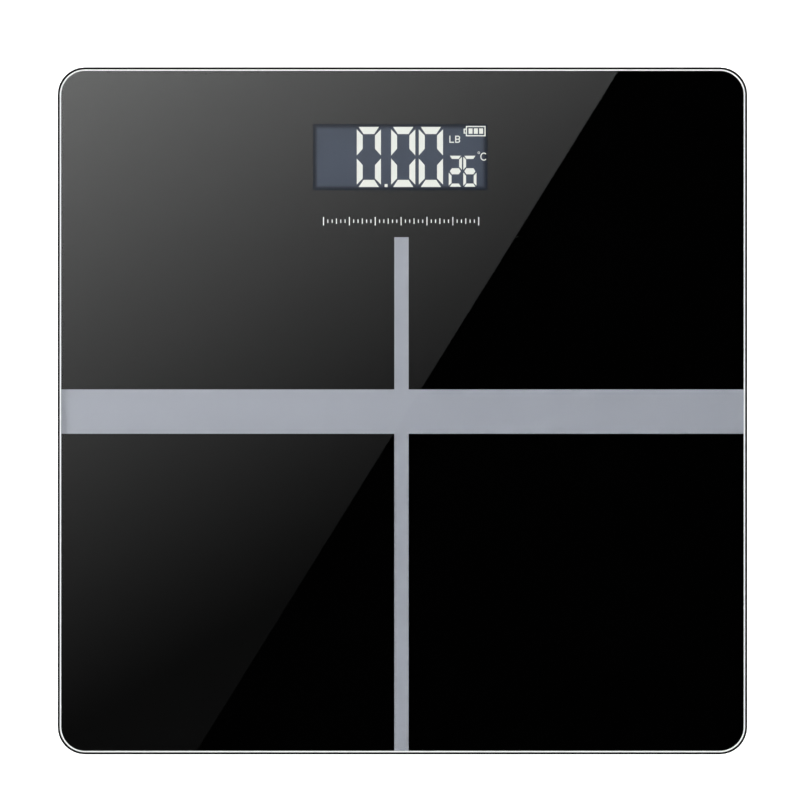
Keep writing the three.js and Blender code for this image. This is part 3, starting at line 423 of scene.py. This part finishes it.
def metal(name, dark, light, smoothest, roughest):
    """Metal with fine lines drawn along one axis."""
    g = material_graph(name)
    lines = g.noise(2.0 * MM, detail=4.0, vector=g.stretched(1.0, 14.0, 1.0))
    shader = g.principled(
        Base_Color=g.blend(lines, dark, light),
        Metallic=1.0,
        Roughness=g.spread(lines, smoothest, roughest),
        Normal=g.bump(lines, 0.01 * MM),
    )
    return g.finish(shader)


def battery_wrap():
    """A printed sleeve: dark green with copper ends and no lettering."""
    g = material_graph("battery_wrap")
    band = g.math("GREATER_THAN", g.math("ABSOLUTE", g.axes(g.place())["X"]), 12.0 * MM)
    sleeve = g.blend(g.noise(0.6 * MM), colour(0.02, 0.12, 0.06), colour(0.03, 0.16, 0.08))
    tone = g.blend(band, sleeve, colour(0.42, 0.20, 0.08))
    return g.finish(g.principled(Base_Color=tone, Roughness=0.3, Metallic=0.2))


def resin():
    g = material_graph("gauge_resin")
    flow = g.noise(1.0 * MM)
    tone = g.blend(flow, colour(0.62, 0.60, 0.52), colour(0.78, 0.76, 0.70))
    return g.finish(g.principled(Base_Color=tone, Roughness=0.55, Normal=g.bump(flow, 0.08 * MM)))


def rubber():
    g = material_graph("pad_rubber")
    dust = g.noise(3.0 * MM, detail=5.0)
    pores = g.noise(0.15 * MM)
    shader = g.principled(
        Base_Color=g.blend(dust, colour(0.010), colour(0.026)),
        Roughness=g.spread(dust, 0.7, 0.95),
        Specular_IOR_Level=0.3,
        Normal=g.bump(pores, 0.03 * MM),
    )
    return g.finish(shader)


def insulation():
    g = material_graph("lead_insulation")
    sheath = g.noise(1.2 * MM)
    tone = g.blend(sheath, colour(0.26, 0.01, 0.01), colour(0.38, 0.018, 0.016))
    return g.finish(g.principled(Base_Color=tone, Roughness=g.spread(sheath, 0.35, 0.55)))


# ---- Mesh helpers -----------------------------------------------------------------------------------

def rectangle(left, bottom, right, top):
    return [(left, bottom), (right, bottom), (right, top), (left, top)]


def rounded_outline(width, depth, radius, steps=24):
    """Corners of a rectangle with round corners, anticlockwise."""
    outline = []
    for corner in range(4):
        centre_x = (1 if corner in (0, 3) else -1) * (width / 2 - radius)
        centre_y = (1 if corner < 2 else -1) * (depth / 2 - radius)
        for step in range(steps + 1):
            angle = (corner + step / steps) * math.pi / 2
            outline.append((centre_x + radius * math.cos(angle), centre_y + radius * math.sin(angle)))
    return outline


def arc_band(centre_x, centre_y, radius_x, radius_y, stroke, start, end, steps=14):
    """Quads along an elliptical arc of even stroke, with angles in degrees."""
    quads = []
    for step in range(steps):
        quad = []
        for ahead, inside in ((0, 0.0), (1, 0.0), (1, stroke), (0, stroke)):
            angle = math.radians(start + (end - start) * (step + ahead) / steps)
            x = centre_x + (radius_x - inside) * math.cos(angle)
            y = centre_y + (radius_y - inside) * math.sin(angle)
            quad.append((x, y))
        quads.append(quad)
    return quads


def oriented(outline):
    """The outline anticlockwise."""
    following = outline[1:] + outline[:1]
    area = sum(x0 * y1 - x1 * y0 for (x0, y0), (x1, y1) in zip(outline, following))
    return outline if area > 0 else outline[::-1]


def ring_faces(rings, count):
    """Quads between rings of equal count, as corner indices."""
    faces = []
    for level in range(rings - 1):
        near = level * count
        far = near + count
        for i in range(count):
            j = (i + 1) % count
            faces.append((near + i, near + j, far + j, far + i))
    return faces


def add_piece(name, corners, faces, materials, body, replaces=(), smooth=30.0, bands=()):
    """One visible piece, smooth except at edges sharper than an angle. bands gives each face's material."""
    mesh = bpy.data.meshes.new(name)
    mesh.from_pydata(corners, [], faces)
    for material in materials:
        mesh.materials.append(material)
    for polygon, index in zip(mesh.polygons, bands):
        polygon.material_index = index
    mesh.update()
    mesh.shade_smooth()
    mesh.set_sharp_from_angle(angle=math.radians(smooth))
    piece = bpy.data.objects.new(name, mesh)
    bpy.context.scene.collection.objects.link(piece)
    if replaces:
        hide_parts(*replaces)
    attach(piece, body)


def turned_piece(name, profile, middle, material, body, replaces):
    """A turned solid from (radius, z) points that run up its outside, with flat ends."""
    count = 96
    corners = []
    for radius, z in profile:
        for i in range(count):
            angle = 2 * math.pi * i / count
            corners.append((middle.x + radius * math.cos(angle), middle.y + radius * math.sin(angle), z))
    faces = ring_faces(len(profile), count)
    faces.append(tuple(reversed(range(count))))
    faces.append(tuple(range(len(corners) - count, len(corners))))
    add_piece(name, corners, faces, [material], body, replaces)


def raised_shapes(name, outlines, bottom, top, material, body):
    """Flat shapes with a little thickness, as one piece."""
    corners = []
    faces = []
    for outline in map(oriented, outlines):
        first = len(corners)
        count = len(outline)
        corners += [(x, y, z) for z in (bottom, top) for x, y in outline]
        faces.append(tuple(reversed(range(first, first + count))))
        faces.append(tuple(range(first + count, first + 2 * count)))
        faces += [tuple(first + i for i in face) for face in ring_faces(2, count)]
    add_piece(name, corners, faces, [material], body, smooth=1.0)


# ---- Platform ---------------------------------------------------------------------------------------

def glass_plate(clear, arris, edge, film):
    """Clear faces, ground arrises, a cut side and a coated window at the back, in one closed plate."""
    width = GLASS_SIZE.x - 2 * GLASS_INSET
    depth = GLASS_SIZE.y - 2 * GLASS_INSET
    inner = rounded_outline(width - 2 * ARRIS, depth - 2 * ARRIS, CORNER_RADIUS - ARRIS)
    outer = rounded_outline(width, depth, CORNER_RADIUS)
    levels = (
        (inner, GLASS_LOW.z),
        (outer, GLASS_LOW.z + ARRIS),
        (outer, GLASS_HIGH.z - ARRIS),
        (inner, GLASS_HIGH.z),
    )
    corners = [(x, y, z) for outline, z in levels for x, y in outline]
    count = len(inner)
    faces = ring_faces(len(levels), count)
    faces.append(tuple(range(3 * count, 4 * count)))
    window = range(len(corners), len(corners) + 4)
    near_left, near_right, far_right, far_left = window
    outline = rectangle(
        WINDOW_LEFT, WINDOW_BOTTOM, WINDOW_LEFT + WINDOW_WIDTH, WINDOW_BOTTOM + WINDOW_DEPTH
    )
    corners += [(x, y, GLASS_LOW.z) for x, y in outline]
    arc = count // 4  # points in each round corner, which start at the far right one
    around = [
        [*range(arc, 3 * arc), near_left, far_left],
        [*range(3 * arc, count), *range(arc), far_right, near_right],
        [arc - 1, arc, far_left, far_right],
        [3 * arc - 1, 3 * arc, near_right, near_left],
        list(window),
    ]
    faces += [tuple(reversed(face)) for face in around]
    add_piece(
        "glass_plate",
        corners,
        faces,
        [clear, arris, edge, film],
        "platform",
        ["glass_platform"],
        smooth=20.0,
        bands=[1] * count + [2] * count + [1] * count + [0] * 5 + [3],
    )


def graduation_print(material):
    """A plain row of graduation ticks between the window and the cross."""
    middle_x = GLASS_MIDDLE.x - 0.55 * MM
    middle_y = GLASS_MIDDLE.y + 77.0 * MM
    length = 63.0 * MM
    ticks = 36
    half_stroke = 0.2 * MM
    shapes = []
    for i in range(ticks + 1):
        x = middle_x - length / 2 + length * i / ticks
        half = 1.7 * MM if i % 6 == 0 else 1.1 * MM if i % 3 == 0 else 0.7 * MM
        shapes.append(rectangle(x - half_stroke, middle_y - half, x + half_stroke, middle_y + half))
    raised_shapes(
        "graduation_print",
        shapes,
        SILVER_LOW.z,
        SILVER_HIGH.z,
        material,
        "platform",
    )


# ---- Underside --------------------------------------------------------------------------------------

def ribbed_pad(foot, material):
    """A rubber pad with a rounded rim and concentric grooves in its sole."""
    low, high, middle = span(f"foot_pad_{foot}")
    radius = (high.x - low.x) / 2
    groove = low.z + 0.5 * MM
    shoulder = low.z + 0.1 * MM
    wall = 0.25 * MM
    rib = 2.6 * MM
    profile = [(0.6 * MM, groove)]
    for start in (2.5 * MM, 6.5 * MM, 10.5 * MM):
        end = start + rib
        profile += [
            (start - wall, groove),
            (start, shoulder),
            (start + wall, low.z),
            (end - wall, low.z),
            (end, shoulder),
            (end + wall, groove),
        ]
    rim = 0.8 * MM
    steps = 4
    for step in range(steps + 1):
        angle = math.pi / 2 * step / steps
        profile.append((radius - rim + rim * math.sin(angle), groove + rim * (1 - math.cos(angle))))
    profile.append((radius, high.z))
    turned_piece(
        f"ribbed_pad_{foot}",
        profile,
        middle,
        material,
        f"foot_{foot}",
        [f"foot_pad_{foot}"],
    )


def blank_label(material):
    """A label with nothing on it, a hair below the ceiling of its recess."""
    thickness = 0.12 * MM
    gap = 0.01 * MM
    outline = rounded_outline(LABEL_WIDTH, LABEL_DEPTH, 2.5 * MM, 8)
    raised_shapes(
        "blank_label",
        [[(x + LABEL_MIDDLE.x, y + LABEL_MIDDLE.y) for x, y in outline]],
        LABEL_CEILING - thickness,
        LABEL_CEILING - gap,
        material,
        "platform",
    )


def door_grip(material):
    """Ribs and an arrow that stand out of the battery door's face, to show how it opens."""
    ribs = 5
    rib_pitch = 2.0 * MM
    rib_width = 0.9 * MM
    half_rib = 6.0 * MM
    first_rib = DOOR_HIGH.x - 7.5 * MM
    y = DOOR_MIDDLE.y
    shapes = []
    for i in range(ribs):
        x = first_rib - rib_pitch * i
        shapes.append(rectangle(x, y - half_rib, x + rib_width, y + half_rib))
    arrow = DOOR_HIGH.x - 26.0 * MM
    arrow_length = 6.0 * MM
    half_arrow = 4.0 * MM
    shapes.append([(arrow, y + half_arrow), (arrow - arrow_length, y), (arrow, y - half_arrow)])
    bottom = DOOR_LOW.z - 0.35 * MM
    top = DOOR_LOW.z + 0.1 * MM
    raised_shapes("door_grip", shapes, bottom, top, material, "battery_door")


# ---- Display ----------------------------------------------------------------------------------------

SEGMENTS_LIT = {0: "abcdef", 2: "abged", 6: "afgecd"}
READING = {"width": 9.8 * MM, "height": 24.4 * MM, "thick": 2.4 * MM, "bar": 2.9 * MM, "waist": 0.62 * MM}
WARMTH = {"width": 5.35 * MM, "height": 12.6 * MM, "thick": 1.12 * MM, "bar": 1.3 * MM, "waist": 0.55 * MM}


def segment_outlines(left, bottom, digit, width, height, thick, bar, waist):
    """A seven-segment digit. thick is the width of its uprights, bar the height of its bars."""
    right = left + width
    top = bottom + height
    middle = bottom + height / 2
    lead_in = 0.08 * width  # from the digit's side to the long edge of a bar
    slope = 1.14 * thick  # from the digit's side to the short edge of a bar
    shoulder = 0.34 * bar  # from the digit's top to the outer end of an upright
    inner = 1.2 * bar  # from the digit's top to the inner end of an upright
    inner_waist = waist + 1.12 * thick  # from the middle to the inner end of an upright
    half = 0.95 * bar  # of the height of the middle bar
    shapes = {
        "g": [
            (left + lead_in, middle),
            (left + slope, middle - half),
            (right - slope, middle - half),
            (right - lead_in, middle),
            (right - slope, middle + half),
            (left + slope, middle + half),
        ]
    }
    for bar_name, upright, twin, end, sign in (("a", "f", "b", top, 1), ("d", "e", "c", bottom, -1)):
        shapes[bar_name] = [
            (left + lead_in, end),
            (left + slope, end - sign * bar),
            (right - slope, end - sign * bar),
            (right - lead_in, end),
        ]
        shapes[upright] = [
            (left, end - sign * shoulder),
            (left, middle + sign * waist),
            (left + thick, middle + sign * inner_waist),
            (left + thick, end - sign * inner),
        ]
        shapes[twin] = [(left + right - x, y) for x, y in shapes[upright]]
    return [shapes[name] for name in SEGMENTS_LIT[digit]]


def unit_marks():
    """The weight unit beside the reading, and the degree sign and C beside the temperature."""
    stroke = 0.43 * MM
    height = 2.9 * MM
    low = WINDOW_BOTTOM + 19.35 * MM
    l_left = WINDOW_LEFT + 55.4 * MM
    l_width = 1.85 * MM
    b_left = WINDOW_LEFT + 57.75 * MM
    b_straight = 0.75 * MM  # of the B's bars, before they bend
    bowl = height / 4 + stroke / 4
    shapes = [
        rectangle(l_left, low, l_left + stroke, low + height),
        rectangle(l_left + stroke, low, l_left + l_width, low + stroke),
        rectangle(b_left, low, b_left + stroke, low + height),
    ]
    start = b_left + stroke
    bend = start + b_straight
    for centre in (low + bowl, low + height - bowl):
        shapes.append(rectangle(start, centre + bowl - stroke, bend, centre + bowl))
        shapes.append(rectangle(start, centre - bowl, bend, centre - bowl + stroke))
        shapes += arc_band(bend, centre, bowl, bowl, stroke, -90, 90, 8)
    c_x = WINDOW_LEFT + 69.4 * MM
    c_y = WINDOW_BOTTOM + 13.75 * MM
    shapes += arc_band(c_x, c_y, 1.45 * MM, 1.65 * MM, stroke, 45, 315)
    degree_x = WINDOW_LEFT + 67.35 * MM
    degree_y = WINDOW_BOTTOM + 15.3 * MM
    shapes += arc_band(degree_x, degree_y, 0.5 * MM, 0.5 * MM, 0.22 * MM, 0, 360)
    return shapes


def battery_mark():
    """A battery outline with its terminal on the left and three bars."""
    left = WINDOW_LEFT + 61.2 * MM
    bottom = WINDOW_BOTTOM + 22.0 * MM
    right = left + 8.9 * MM
    top = bottom + 4.2 * MM
    middle = (bottom + top) / 2
    stroke = 0.45 * MM
    body = left + 0.9 * MM
    half = 1.0 * MM  # of the terminal's height
    lip = 0.4 * MM  # thickness of its two arms
    shapes = [
        rectangle(body, bottom, right, bottom + stroke),
        rectangle(body, top - stroke, right, top),
        rectangle(body, bottom + stroke, body + stroke, top - stroke),
        rectangle(right - stroke, bottom + stroke, right, top - stroke),
        rectangle(left, middle - half, left + stroke, middle + half),
        rectangle(left + stroke, middle + half - lip, body, middle + half),
        rectangle(left + stroke, middle - half, body, middle - half + lip),
    ]
    bar_width = 1.6 * MM
    bar_pitch = 2.15 * MM
    bar_margin = 1.0 * MM
    first_bar = body + stroke + 0.65 * MM
    for i in range(3):
        bar = first_bar + bar_pitch * i
        shapes.append(rectangle(bar, bottom + bar_margin, bar + bar_width, top - bar_margin))
    return shapes


def display_characters(material):
    """Everything that the display shows: a reading, a temperature, two units and the battery's state."""
    foot = WINDOW_BOTTOM + 1.4 * MM  # of the reading
    shapes = []
    for left in (17.8 * MM, 31.75 * MM, 43.0 * MM):
        shapes += segment_outlines(WINDOW_LEFT + left, foot, 0, **READING)
    point = WINDOW_LEFT + 29.1 * MM
    point_size = 1.2 * MM
    shapes.append(rectangle(point, foot, point + point_size, foot + point_size))
    for left, digit in ((55.15 * MM, 2), (61.05 * MM, 6)):
        shapes += segment_outlines(WINDOW_LEFT + left, WINDOW_BOTTOM + 1.5 * MM, digit, **WARMTH)
    shapes += unit_marks() + battery_mark()
    raised_shapes(
        "display_characters",
        shapes,
        LCD_HIGH.z + 0.02 * MM,
        LCD_HIGH.z + 0.06 * MM,
        material,
        "platform",
    )


# ---- CAD nodes that keep their shape ----------------------------------------------------------------

def dress(names, material):
    """Gives CAD nodes a material and smooth shading."""
    for name in names:
        mesh = NODES[name].data
        mesh.materials.clear()
        mesh.materials.append(material)
        mesh.shade_smooth()
        mesh.set_sharp_from_angle(angle=math.radians(25))


def at_feet(stem):
    """Names of the four nodes of one kind, one at each foot."""
    return [f"{stem}_{foot}" for foot in FEET]


def polish_lip(material):
    """Gives the top of the base's rim a finish of its own."""
    mesh = NODES["base_tray"].data
    mesh.materials.append(material)
    for face in mesh.polygons:
        if min(mesh.vertices[i].co.z for i in face.vertices) > GLASS_LOW.z - LIP_DEPTH:
            face.material_index = 1


# ---- Studio -----------------------------------------------------------------------------------------

def camera():
    data = bpy.data.cameras.new("camera")
    data.lens = LENS
    data.sensor_width = SENSOR
    data.clip_start = 0.1
    data.clip_end = 100.0
    made = bpy.data.objects.new("camera", data)
    made.location = (PICTURE_MIDDLE.x, PICTURE_MIDDLE.y, CAMERA_HEIGHT)
    bpy.context.scene.collection.objects.link(made)
    bpy.context.scene.camera = made


def softbox(azimuth):
    """A square light that fades to its edges. Azimuth 0 is the user's side, 90 the right."""
    name = f"softbox_{azimuth}"
    data = bpy.data.lights.new(name, "AREA")
    data.shape = "SQUARE"
    data.size = SOFTBOX_SIZE
    data.energy = SOFTBOX_POWER
    g = Graph(data, "ShaderNodeOutputLight")
    x, y, _ = g.axes(g.node("ShaderNodeNewGeometry").outputs["Parametric"])
    inward = g.math("MINIMUM", g.math("PINGPONG", x, 0.5), g.math("PINGPONG", y, 0.5))
    fade = g.spread(inward, 0.0, 1.0, 0.0, SOFTBOX_FADE, smooth=True)
    g.finish(g.node("ShaderNodeEmission", {"Strength": fade}).outputs[0])
    turn = math.radians(azimuth)
    rise = math.radians(SOFTBOX_ELEVATION)
    away = math.cos(rise)
    towards = Vector((math.sin(turn) * away, -math.cos(turn) * away, math.sin(rise)))
    made = bpy.data.objects.new(name, data)
    made.location = SOFTBOX_DISTANCE * towards
    made.rotation_euler = towards.to_track_quat("Z", "Y").to_euler()
    made.visible_camera = False
    made.visible_transmission = False  # the glass lets its shadow rays through instead
    bpy.context.scene.collection.objects.link(made)


def stage_piece(name, corners, material):
    """One flat quad that isn't part of the object."""
    mesh = bpy.data.meshes.new(name)
    mesh.from_pydata(corners, [], [(0, 1, 2, 3)])
    mesh.materials.append(material)
    made = bpy.data.objects.new(name, mesh)
    bpy.context.scene.collection.objects.link(made)
    return made


def floor():
    """A pale sweep with a light of its own, seen from above only."""
    g = material_graph("studio_floor")
    surface = g.principled(
        Base_Color=g.blend(g.noise(0.5), colour(0.86), colour(0.88)),
        Roughness=0.9,
        Specular_IOR_Level=0.1,
        Emission_Color=colour(1.0),
        Emission_Strength=0.84,
    )
    below = g.node("ShaderNodeNewGeometry").outputs["Backfacing"]
    sweep = g.finish(g.choose(below, surface, g.see_through()))
    outline = rectangle(-FLOOR_REACH, -FLOOR_REACH, FLOOR_REACH, FLOOR_REACH)
    stage_piece("studio_floor", [(x, y, 0.0) for x, y in outline], sweep)


def on_card(point):
    """The point of the card that the camera sees mirrored at a point of the glass."""
    return PICTURE_MIDDLE + (point - PICTURE_MIDDLE) * CARD_SPREAD


def highlight_card():
    """A gradient softbox with a straight edge, which only reflections see."""
    g = material_graph("highlight_card")
    x, y, _ = g.axes(g.place())
    slope = HIGHLIGHT_FALL / CARD_SPREAD
    start = HIGHLIGHT_PEAK - slope.dot(on_card(HIGHLIGHT_CORNER))
    value = g.math("MULTIPLY_ADD", x, slope.x, start)
    value = g.math("MAXIMUM", g.math("MULTIPLY_ADD", y, slope.y, value), HIGHLIGHT_LEAST)
    share = g.math("DIVIDE", g.math("ADD", value, SRGB_OFFSET), 255.0 + SRGB_OFFSET)
    light = g.math("DIVIDE", g.math("POWER", share, SRGB_POWER), CARD_REFLECTANCE)
    shader = g.node("ShaderNodeEmission", {"Strength": light}).outputs[0]
    top = on_card(HIGHLIGHT_TOP)
    bottom = on_card(HIGHLIGHT_BOTTOM)
    reach = CARD_REACH * (top - bottom).normalized()
    across = Vector((-CARD_WIDTH, 0.0))
    outline = [top + reach, top + reach + across, bottom - reach + across, bottom - reach]
    z = GLASS_HIGH.z + CARD_RISE
    made = stage_piece("highlight_card", [(p.x, p.y, z) for p in outline], g.finish(shader))
    made.visible_camera = False
    made.visible_diffuse = False
    made.visible_shadow = False


def world():
    """White behind the scale, and for its reflections a glow at the horizon that fades to a dark zenith."""
    made = bpy.data.worlds.new("studio")
    bpy.context.scene.world = made
    g = Graph(made, "ShaderNodeOutputWorld")
    _, _, rise = g.axes(g.node("ShaderNodeTexCoord").outputs["Generated"])
    glow = g.spread(rise, 0.65, 0.0, 0.05, 0.55, smooth=True)
    light = g.math("MAXIMUM", glow, g.ray("Is Camera Ray"))
    inputs = {"Color": colour(1.0), "Strength": light}
    g.finish(g.node("ShaderNodeBackground", inputs).outputs[0])


# ---- Build ------------------------------------------------------------------------------------------

def build_studio():
    camera()
    world()
    floor()
    highlight_card()
    for azimuth in (45, 135, 225, 315):
        softbox(azimuth)


def dress_nodes(black):
    grey = moulded_plastic("grey_plastic", colour(0.03, 0.032, 0.036), colour(0.06, 0.064, 0.07))
    steel = metal("steel", colour(0.30, 0.31, 0.33), colour(0.46, 0.47, 0.5), 0.25, 0.45)
    nickel = metal("nickel_plate", colour(0.5, 0.51, 0.53), colour(0.68, 0.69, 0.71), 0.15, 0.3)
    tapes = [f"foam_tape_{side}" for side in ("front", "back", "left", "right")]
    screws = [f"board_screw_{i}" for i in range(1, 5)]
    contacts = [f"battery_contact_{kind}" for kind in ("bridge", "positive", "negative")]
    chips = ["controller_blob", "amplifier_chip", "temperature_sensor", "switch_plunger"]
    leads = ["battery_lead_positive", "battery_lead_negative"]

    dress(["black_back_print"], black_ink())
    dress(["silver_cross_print"], silver_ink())
    dress(["base_tray", "battery_door"] + at_feet("foot_cup"), black)
    polish_lip(lip_plastic())
    dress(["unit_button", "display_holder"] + at_feet("load_cell_carrier"), grey)
    dress(tapes + ["display_gasket"], foam())
    dress(["lcd_panel"], lcd_field())
    dress(["backlight_panel"], light_guide())
    dress(["zebra_strip_front", "zebra_strip_back"], elastomer())
    dress(["main_board"], circuit_board())
    dress(chips, epoxy())
    dress(screws + ["unit_switch"] + at_feet("load_cell"), steel)
    dress(contacts, nickel)
    dress(["battery_1", "battery_2"], battery_wrap())
    dress(at_feet("strain_gauge"), resin())
    dress(at_feet("load_cell_lead") + leads, insulation())


def add_pieces(black):
    glass_plate(clear_glass(), ground_arris(), glass_edge(), window_film())
    pad = rubber()
    for foot in FEET:
        ribbed_pad(foot, pad)
    blank_label(label_foil())
    door_grip(black)
    display_characters(lit_segment())
    graduation_print(white_ink())


bpy.context.scene.view_settings.view_transform = "Standard"
build_studio()
black_plastic = moulded_plastic("black_plastic", colour(0.004), colour(0.012))
dress_nodes(black_plastic)
add_pieces(black_plastic)
